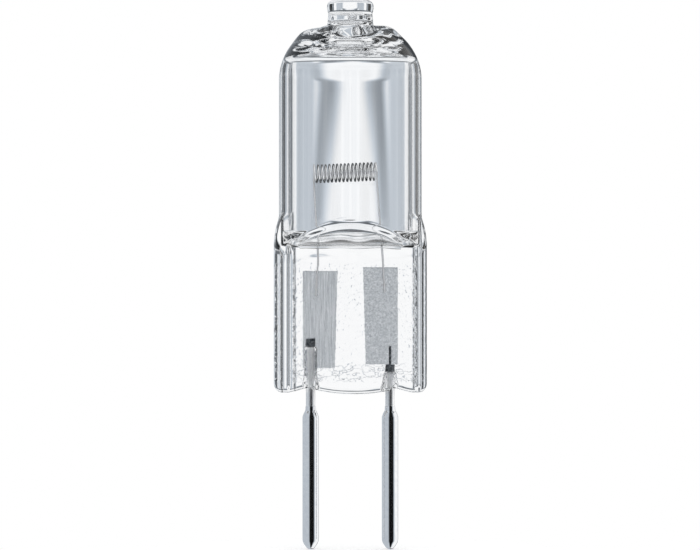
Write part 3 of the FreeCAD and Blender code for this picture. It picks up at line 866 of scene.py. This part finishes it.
edge_cover = window_edge.step(0.7, 2.6) * (1 - window_edge.step(3.0, 4.6))
level = with_cards(folded, 255, LEVEL_CARDS)
level = level + edge_cover * (grey(195) + high * (grey(142) - grey(195)) - level)
steep = with_cards(up, 250, STEEP_CARDS)
through = level + abs(up).step(0.085, 0.11) * (steep - level)
mirror_angle = tree.maths("WRAP", compass * -1 + 180, 180, -180)
MIRROR_CARDS = ((-28, -8, 44, 60, 16), (58, 78, 142, 158, 255), (142, 160, 190, 200, 110))
mirrored = with_cards(mirror_angle, 205, MIRROR_CARDS)

# %% The world's light
camera_ray = tree.node("ShaderNodeLightPath", output="Is Camera Ray")
glossy_ray = tree.node("ShaderNodeLightPath", output="Is Glossy Ray")
through_ray = tree.node("ShaderNodeLightPath", output="Is Transmission Ray")
tone = camera_ray + through_ray * through + (glossy_ray - through_ray) * mirrored \
    + (1 - camera_ray - glossy_ray) * 0.95
cool = tone.step(0.6, 1.0).mix((0.85, 0.92, 1.0, 1), (1, 1, 1, 1))
light = world.node_tree.nodes["Background"]
world.node_tree.links.new(cool.socket, light.inputs["Color"])
world.node_tree.links.new(tone.socket, light.inputs["Strength"])

# %% [markdown]
# ## Floor and camera
#
# The floor is a small pale disc under the pins. To the camera it adds just the light that brings it
# to the backdrop's white, so that only its soft shadow shows. Light mirrored by the pins passes
# through the floor, so that their dark stripes run down to the tips. The camera is far off with a
# long lens, level with the bulb's middle.

# %% Floor
bpy.ops.object.select_all(action="DESELECT")
bpy.ops.mesh.primitive_circle_add(vertices=96, radius=16 * MM, fill_type="NGON")
floor = bpy.context.object
floor.name = "floor"
floor_skin = bpy.data.materials.new("pale_floor")
floor_skin.use_nodes = True
tree = Value(floor_skin.node_tree)
floor_skin.node_tree.nodes.remove(floor_skin.node_tree.nodes["Principled BSDF"])
matt = tree.node("ShaderNodeBsdfDiffuse", None, {"Color": (0.8, 0.8, 0.8, 1)})
seen = tree.node("ShaderNodeLightPath", output="Is Camera Ray")
lift = tree.node("ShaderNodeEmission", None, {"Color": (1, 1, 1, 1), "Strength": seen * 0.3})
pale = tree.node("ShaderNodeAddShader", None, {0: matt, 1: lift})
mirrored_ray = tree.node("ShaderNodeLightPath", output="Is Glossy Ray") \
    - tree.node("ShaderNodeLightPath", output="Is Transmission Ray")
clear = tree.node("ShaderNodeBsdfTransparent", None, {"Color": (1, 1, 1, 1)})
whole = tree.node("ShaderNodeMixShader", None, {0: mirrored_ray, 1: pale, 2: clear})
floor_skin.node_tree.links.new(whole.socket,
                               floor_skin.node_tree.nodes["Material Output"].inputs["Surface"])
floor.data.materials.append(floor_skin)

# %% Camera
FRAME_WIDTH, FRAME_HEIGHT = 700, 550
PIXELS_PER_MM = 12.5
AXIS_PIXEL, TIP_PIXEL = 350.3, 549.0
LENS, SENSOR = 250.0, 36.0
view_width = FRAME_WIDTH / PIXELS_PER_MM
camera_data = bpy.data.cameras.new("camera")
camera_data.lens, camera_data.sensor_width = LENS, SENSOR
camera_data.clip_start, camera_data.clip_end = 0.01, 10.0
camera = bpy.data.objects.new("camera", camera_data)
bpy.context.collection.objects.link(camera)
camera.location = ((FRAME_WIDTH / 2 - AXIS_PIXEL) / PIXELS_PER_MM * MM,
                   -view_width * LENS / SENSOR * MM,
                   (TIP_PIXEL - FRAME_HEIGHT / 2) / PIXELS_PER_MM * MM)
camera.rotation_euler = (math.pi / 2, 0, 0)
bpy.context.scene.camera = camera
bpy.context.scene.view_settings.view_transform = "Standard"
